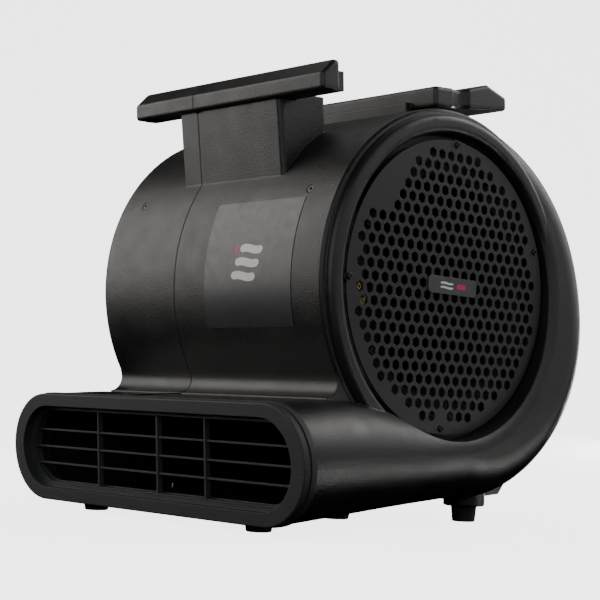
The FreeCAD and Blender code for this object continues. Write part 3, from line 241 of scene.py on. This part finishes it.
def rubber(name, color):
    """Dull moulded rubber with dust in its pores."""
    s = Shader(name, color, 0.8)
    dust = s.noise(0.003, 5.0)
    dusty = s.mixed(s.ranged(dust, 0.5, 0.8, 0.0, 0.6), color, (0.06, 0.058, 0.055))
    s.link(dusty, s.shader.inputs["Base Color"])
    s.link(s.ranged(dust, 0.3, 0.7, 0.65, 0.9), s.shader.inputs["Roughness"])
    s.bump(s.noise(0.0007, 3.0), 0.00008, 1.0, 0.0006)
    return s.material


def metal(name, color, dark, roughness, stretch=(1.0, 1.0, 1.0), grain=0.0012):
    """Bare or plated metal: fine working marks and uneven brightness."""
    s = Shader(name, color, roughness, 1.0)
    marks = s.noise(grain, 3.0, stretch)
    patches = s.noise(0.012, 4.0)
    s.link(s.mixed(s.ranged(patches, 0.35, 0.75, 0.0, 1.0), color, dark), s.shader.inputs["Base Color"])
    s.link(s.ranged(marks, 0.3, 0.7, roughness - 0.08, roughness + 0.08), s.shader.inputs["Roughness"])
    s.bump(marks, 0.00002, 1.0, 0.0003)
    return s.material


def film(name, color, light, roughness, coat):
    """Printed film under a clear satin layer."""
    s = Shader(name, color, roughness)
    s.set("Coat Weight", coat)
    s.set("Coat Roughness", 0.25)
    patches = s.noise(0.03, 3.0)
    s.link(s.mixed(s.ranged(patches, 0.3, 0.7, 0.0, 1.0), color, light), s.shader.inputs["Base Color"])
    gloss = s.ranged(s.noise(0.008, 4.0), 0.3, 0.7, roughness - 0.05, roughness + 0.05)
    s.link(gloss, s.shader.inputs["Roughness"])
    s.bump(s.noise(0.0022, 2.0), 0.00003, 0.6, 0.0004)
    return s.material


def laminated(name, color, dark):
    """Stacked electrical steel: thin rings along the shaft."""
    s = Shader(name, color, 0.45, 1.0)
    wave = s.node("ShaderNodeTexWave", bands_direction="X")
    wave.inputs["Scale"].default_value = 250.0
    wave.inputs["Distortion"].default_value = 0.4
    s.link(s.place, wave.inputs["Vector"])
    s.link(s.mixed(wave.outputs["Fac"], color, dark), s.shader.inputs["Base Color"])
    s.bump(wave.outputs["Fac"], 0.0001)
    return s.material


def wound(name, color, dark):
    """Varnished copper winding: bundled turns."""
    s = Shader(name, color, 0.3, 1.0)
    s.set("Coat Weight", 0.6)
    turns = s.noise(0.0016, 2.0, (1.0, 0.25, 0.25))
    s.link(s.mixed(s.ranged(turns, 0.35, 0.65, 0.0, 1.0), dark, color), s.shader.inputs["Base Color"])
    s.bump(turns, 0.0006)
    return s.material


def printed(name, color):
    """Screen-printed ink."""
    s = Shader(name, color, 0.45)
    ink = s.noise(0.0015, 3.0)
    faded = tuple(0.82 * c for c in color)
    s.link(s.mixed(s.ranged(ink, 0.4, 0.8, 0.0, 1.0), color, faded), s.shader.inputs["Base Color"])
    s.link(s.ranged(ink, 0.3, 0.7, 0.4, 0.52), s.shader.inputs["Roughness"])
    s.bump(ink, 0.00001)
    return s.material


def dress_nodes():
    """Gives every CAD node its material through its own slots, and closes the seam."""
    black_steel = metal("black_steel", (0.07, 0.07, 0.07), (0.03, 0.03, 0.03), 0.28)
    zinc = metal("zinc", (0.62, 0.62, 0.6), (0.4, 0.4, 0.38), 0.34)
    # near-black inlet rings and wheel: partly their own black finish, partly painted shade that keeps the
    # inside dark through the grille holes
    ring = coated("ring_paint", (0.004, 0.004, 0.004), (0.015, 0.015, 0.015), 0.75)
    inner = moulded("wheel_moulding_and_shade", (0.006, 0.006, 0.0062), (0.009, 0.009, 0.009), 0.6,
                    0.001, 0.00003, 0.0004)
    housing = moulded("housing_moulding", (0.0125, 0.0122, 0.012), (0.0155, 0.015, 0.0145), 0.38,
                      0.0009, 0.00017, 0.0025, 0.025, 0.08)
    collar = moulded("collar_moulding", (0.026, 0.029, 0.029), (0.031, 0.034, 0.034), 0.6,
                     0.0011, 0.0002, 0.0008, 0.02, 0.05)
    louvre = moulded("louvre_moulding", (0.035, 0.037, 0.037), (0.045, 0.047, 0.047), 0.5,
                     0.0009, 0.00004, 0.0004, 0.02, 0.1)
    # second colour of each coat is its edge colour, painted lighter partly as rubbed wear and partly as a
    # painted highlight
    grille = coated("grille_coat", (0.016, 0.017, 0.0175), (0.09, 0.09, 0.09), 0.48)
    badge = film("badge_plate", (0.05, 0.049, 0.05), (0.06, 0.059, 0.06), 0.3, 0.6)
    label = film("label_film", (0.030, 0.029, 0.031), (0.034, 0.033, 0.035), 0.42, 0.25)
    steel = metal("bright_steel", (0.72, 0.72, 0.73), (0.55, 0.55, 0.56), 0.22, (8.0, 1.0, 1.0))
    cast = metal("cast_aluminium", (0.3, 0.3, 0.3), (0.2, 0.2, 0.2), 0.55, grain=0.0025)
    turned_aluminium = metal("turned_aluminium", (0.72, 0.72, 0.72), (0.6, 0.6, 0.6), 0.3, (12.0, 1.0, 1.0))
    brass = metal("brass", (0.5, 0.36, 0.15), (0.33, 0.23, 0.09), 0.42)
    nickel = metal("nickel", (0.7, 0.68, 0.64), (0.5, 0.49, 0.46), 0.25)
    can = metal("drawn_can", (0.75, 0.75, 0.74), (0.6, 0.6, 0.6), 0.32, (1.0, 6.0, 6.0))
    paint = coated("motor_paint", (0.03, 0.03, 0.032), (0.2, 0.2, 0.2), 0.4)
    panel = coated("panel_coat", (0.02, 0.02, 0.021), (0.1, 0.1, 0.1), 0.5)
    switch = moulded("switch_moulding", (0.012, 0.012, 0.012), (0.017, 0.017, 0.017), 0.38,
                     0.0006, 0.00003, 0.0005, 0.01, 0.1)
    knob = moulded("knob_moulding", (0.016, 0.016, 0.016), (0.022, 0.022, 0.022), 0.42,
                   0.0006, 0.00004, 0.0005, 0.01, 0.15)
    red = moulded("red_moulding", (0.42, 0.012, 0.012), (0.5, 0.02, 0.018), 0.28,
                  0.0008, 0.00001, 0.0005, 0.01, 0.05)
    tread = rubber("foot_rubber", (0.012, 0.012, 0.012))
    dressed = {
        housing: ("housing_right", "housing_left"),
        collar: ("outlet_collar",),
        louvre: ("outlet_grille",),
        grille: ("inlet_grille_right", "inlet_grille_left"),
        badge: ("grille_badge_right", "grille_badge_left"),
        label: ("front_label",),
        black_steel: (
            "grille_screws_right", "grille_screws_left", "wrap_screws", "panel_screws", "collar_screws",
            "inlet_ring_screws_right", "inlet_ring_screws_left",
        ),
        zinc: (
            "foot_screws", "motor_bolts", "bracket_bolts", "hub_rivets", "hub_set_screw",
            "cord_gland_locknut", "capacitor_clamp", "motor_bracket",
        ),
        brass: ("earth_screws",),
        ring: ("inlet_ring_right", "inlet_ring_left"),
        inner: ("wheel_plate", "wheel_blades_left", "wheel_blades_right", "wheel_rings"),
        turned_aluminium: ("wheel_hub",),
        paint: ("motor_shell",),
        cast: ("motor_cap_drive", "motor_cap_rear"),
        laminated("core_steel", (0.4, 0.4, 0.42), (0.2, 0.2, 0.21)): ("motor_stator", "motor_rotor"),
        wound("copper_wire", (0.62, 0.27, 0.12), (0.3, 0.12, 0.05)): ("motor_windings",),
        steel: ("motor_shaft", "bearing_inner_rings", "bearing_outer_rings", "bearing_balls"),
        can: ("capacitor",),
        tread: (
            "front_feet", "middle_feet", "rear_feet",
            "bracket_grommets", "panel_gasket", "cord_gland_seal",
        ),
        panel: ("control_plate",),
        switch: (
            "power_switch_frame", "speed_switch", "breaker_body", "cord_gland", "cord_gland_cap",
        ),
        red: ("power_switch_rocker", "breaker_button"),
        knob: ("speed_knob",),
        nickel: ("breaker_nut", "speed_knob_shaft"),
    }
    for material, names in dressed.items():
        for name in names:
            for slot in NODES[name].material_slots:
                slot.material = material
    # near-black strip in the seam gap: painted shade
    seam_shade_strip(inner)


# ---------------------------------------------------------------- small printed and moulded details

def piece(name, points, faces, material, body="housing"):
    """A mesh piece that rides on a body."""
    mesh = bpy.data.meshes.new(name)
    mesh.from_pydata([tuple(p) for p in points], [], faces)
    mesh.validate()
    mesh.materials.append(material)
    for polygon in mesh.polygons:
        polygon.use_smooth = True
    made = bpy.data.objects.new(name, mesh)
    bpy.context.scene.collection.objects.link(made)
    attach(made, body)
    return made


def ribbon(name, centres, halves, place, material, body="housing"):
    """Flat printed stroke: centres are (across, up) points, halves the half widths at each of them."""
    points = []
    faces = []
    last = len(centres) - 1
    for k, (across, up) in enumerate(centres):
        before = centres[max(k - 1, 0)]
        after = centres[min(k + 1, last)]
        run = Vector((after[0] - before[0], after[1] - before[1])).normalized()
        half = halves[k]
        points.append(place(across - run.y * half, up + run.x * half))
        points.append(place(across + run.y * half, up - run.x * half))
        if k:
            faces.append((2 * k - 2, 2 * k - 1, 2 * k + 1, 2 * k))
    return piece(name, points, faces, material, body)


def round_ended(count, half):
    """Half widths of a stroke with round ends."""
    sizes = []
    for k in range(count):
        edge = min(k, count - 1 - k) / 4.0
        sizes.append(half * math.sqrt(max(0.06, 1.0 - (1.0 - min(edge, 1.0)) ** 2)))
    return sizes


def seam_shade_strip(material):
    """Dark strip along the seam, a little below the surface: it closes the gap between the halves, and its
    near-black stands in for the shade in the seam.
    """
    half = NODES["housing_right"].data
    edge = min(v.co.x for v in half.vertices)
    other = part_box("housing_left")[1][0]
    slack = 0.05 * (edge - other)
    mesh = bmesh.new()
    mesh.from_mesh(half)
    away = [f for f in mesh.faces if max(v.co.x for v in f.verts) > edge + 0.00005]
    bmesh.ops.delete(mesh, geom=away, context="FACES")
    for vertex in mesh.verts:
        vertex.co.x = edge - slack
        vertex.co.y = WHEEL_AXIS.y + 0.99 * (vertex.co.y - WHEEL_AXIS.y)
        vertex.co.z = WHEEL_AXIS.z + 0.99 * (vertex.co.z - WHEEL_AXIS.z)
    grown = bmesh.ops.extrude_face_region(mesh, geom=mesh.faces[:])
    for item in grown["geom"]:
        if isinstance(item, bmesh.types.BMVert):
            item.co.x = other + slack
    bmesh.ops.recalc_face_normals(mesh, faces=mesh.faces[:])
    data = bpy.data.meshes.new("seam_shade_strip")
    mesh.to_mesh(data)
    mesh.free()
    data.materials.clear()
    data.materials.append(material)
    made = bpy.data.objects.new("seam_shade_strip", data)
    bpy.context.scene.collection.objects.link(made)
    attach(made, "housing")


def air_stroke(name, start, length, height, half, place, material):
    """One gently waved stroke of the plain air-stream mark."""
    count = 33
    centres = []
    for k in range(count):
        t = k / (count - 1)
        centres.append((start[0] + length * t, start[1] + height * math.sin(2.0 * math.pi * t)))
    ribbon(name, centres, round_ended(count, half), place, material)


def label_marks(white, accent):
    """Plain air-stream mark in the middle of the label."""
    def place(across, up):
        degrees = LABEL_MIDDLE_ANGLE - math.degrees(up / DRUM_RADIUS)
        return drum_point(LABEL_MIDDLE_X + across, degrees, DRUM_RADIUS + MARK_PROUD)

    left = -0.021
    top = 0.0135
    # each stroke's step to the right, height and length
    rows = ((0.0085, top, 0.033), (0.0030, 0.0, 0.035), (-0.0015, -top, 0.035))
    for k, (step, up, length) in enumerate(rows):
        name = f"label_stroke_{k + 1}"
        air_stroke(name, (left + step, up), length, 0.0013, 0.0040, place, white)
    air_stroke("label_accent", (left + 0.0005, top), 0.0045, 0.0, 0.0038, place, accent)


def badge_marks(white, accent):
    """Short plain strokes on the badge plates."""
    for side, word in ((1.0, "right"), (-1.0, "left")):
        def place(across, up, side=side):
            return badge_point(side, across, up, MARK_PROUD)

        for row, up in enumerate((0.0022, -0.0022)):
            name = f"badge_stroke_{word}_{row + 1}"
            air_stroke(name, (-0.019, up), 0.020, 0.0004, 0.0011, place, white)
        air_stroke(f"badge_accent_{word}", (0.006, 0.0), 0.014, 0.0, 0.0026, place, accent)


def dial_marks(white):
    """Ticks round the speed knob, and the white line on its pointer rib."""
    radius = 0.0175
    for k in range(4):
        turn = math.radians(180.0 - 60.0 * k)
        run = Vector((math.cos(turn), math.sin(turn)))

        def place(across, up):
            return panel_point(KNOB_X + across, up, PANEL_FACE + MARK_PROUD)

        centres = [(run.x * (radius + 0.004 * t / 8.0), run.y * (radius + 0.004 * t / 8.0)) for t in range(9)]
        ribbon(f"dial_tick_{k + 1}", centres, round_ended(9, 0.0006), place, white)

    def on_rib(across, up):
        return panel_point(KNOB_X + across, up, KNOB_RIB_FACE + MARK_PROUD)

    line = [(0.0, 0.0020 + 0.0075 * t / 8.0) for t in range(9)]
    ribbon("knob_pointer_line", line, round_ended(9, 0.0007), on_rib, white, "knob")


def add_marks():
    white = printed("white_ink", (0.92, 0.92, 0.92))
    accent = printed("rose_ink", (0.75, 0.02, 0.16))
    label_marks(white, accent)
    badge_marks(white, accent)
    dial_marks(white)


# ---------------------------------------------------------------- stage, light and camera

def stage_material():
    s = Shader("stage_paper", (0.86, 0.86, 0.86), 0.9)
    s.set("Specular IOR Level", 0.1)
    s.set("Emission Color", (*WHITE, 1.0))
    s.set("Emission Strength", STAGE_GLOW)
    return s.material


def make_stage():
    """Pale floor that sweeps up into a backdrop behind the machine."""
    run = 3.0
    rise = 3.2
    radius = 1.2
    half = 5.0
    away = Vector((CAMERA_VIEW.x, CAMERA_VIEW.y, 0.0)).normalized()
    across = Vector((-away.y, away.x, 0.0))
    profile = [(-4.0, 0.0), (run - radius, 0.0)]
    for k in range(1, 17):
        turn = math.radians(90.0 * k / 16.0)
        profile.append((run - radius + radius * math.sin(turn), radius - radius * math.cos(turn)))
    profile.append((run, rise))
    points = []
    faces = []
    for k, (out, up) in enumerate(profile):
        for side in (-half, half):
            points.append(tuple(away * out + across * side + Vector((0, 0, up))))
        if k:
            faces.append((2 * k - 2, 2 * k - 1, 2 * k + 1, 2 * k))
    mesh = bpy.data.meshes.new("stage_floor")
    mesh.from_pydata(points, [], faces)
    mesh.materials.append(stage_material())
    for polygon in mesh.polygons:
        polygon.use_smooth = True
    floor = bpy.data.objects.new("stage_floor", mesh)
    bpy.context.scene.collection.objects.link(floor)
    floor.visible_glossy = False
    floor.visible_diffuse = False


def area_light(name, direction, distance, width, height, power, color):
    """Soft box in the given direction as seen from the machine, facing it."""
    data = bpy.data.lights.new(name, "AREA")
    data.shape = "RECTANGLE"
    data.size = width
    data.size_y = height
    data.energy = power
    data.color = color
    lamp = bpy.data.objects.new(name, data)
    lamp.location = LIGHT_AIM + distance * Vector(direction).normalized()
    lamp.rotation_euler = (LIGHT_AIM - lamp.location).to_track_quat("-Z", "Y").to_euler()
    lamp.visible_camera = False
    bpy.context.scene.collection.objects.link(lamp)


def make_lights():
    """Soft boxes all round: direction, distance, width, height, power in watts, colour."""
    area_light("key_box", (-0.725, -0.55, 0.38), 2.0, 1.2, 1.7, 21.0, WARM)
    area_light("top_box", (-0.35, 0.3, 0.89), 2.0, 1.4, 0.9, 3.5, NEARLY_WHITE)
    area_light("right_back_box", (0.33, 0.70, 0.60), 2.0, 1.3, 1.0, 12.0, NEARLY_WHITE)
    area_light("back_box", (-0.3, 0.95, -0.04), 2.2, 0.7, 0.4, 10.0, WHITE)
    area_light("right_low_box", (0.66, 0.75, -0.3), 2.0, 1.0, 0.3, 6.0, NEARLY_WHITE)
    area_light("right_fill", (0.8, 0.5, 0.25), 2.5, 2.0, 1.6, 4.0, WHITE)
    area_light("front_fill", (0.5, -0.85, 0.3), 2.5, 2.0, 1.6, 16.0, WHITE)
    area_light("side_fill", (0.95, -0.05, 0.3), 2.5, 2.0, 1.6, 7.0, WHITE)
    area_light("rear_fill", (0.1, 0.95, 0.35), 2.5, 2.0, 1.6, 12.0, WHITE)
    world = bpy.data.worlds.new("studio")
    world.use_nodes = True
    background = world.node_tree.nodes["Background"]
    background.inputs["Color"].default_value = (*WHITE, 1.0)
    background.inputs["Strength"].default_value = BACKGROUND_GLOW
    world.cycles_visibility.glossy = False
    world.cycles_visibility.diffuse = False
    bpy.context.scene.world = world


def make_camera():
    data = bpy.data.cameras.new("camera")
    data.lens = CAMERA_LENS
    data.sensor_width = 36.0
    data.clip_start = 0.05
    camera = bpy.data.objects.new("camera", data)
    look = CAMERA_VIEW.to_track_quat("-Z", "Y").to_matrix().to_4x4()
    camera.matrix_world = Matrix.Translation(CAMERA_PLACE) @ look @ Matrix.Rotation(CAMERA_ROLL, 4, "Z")
    bpy.context.scene.collection.objects.link(camera)
    bpy.context.scene.camera = camera


dress_nodes()
add_marks()
make_stage()
make_lights()
make_camera()
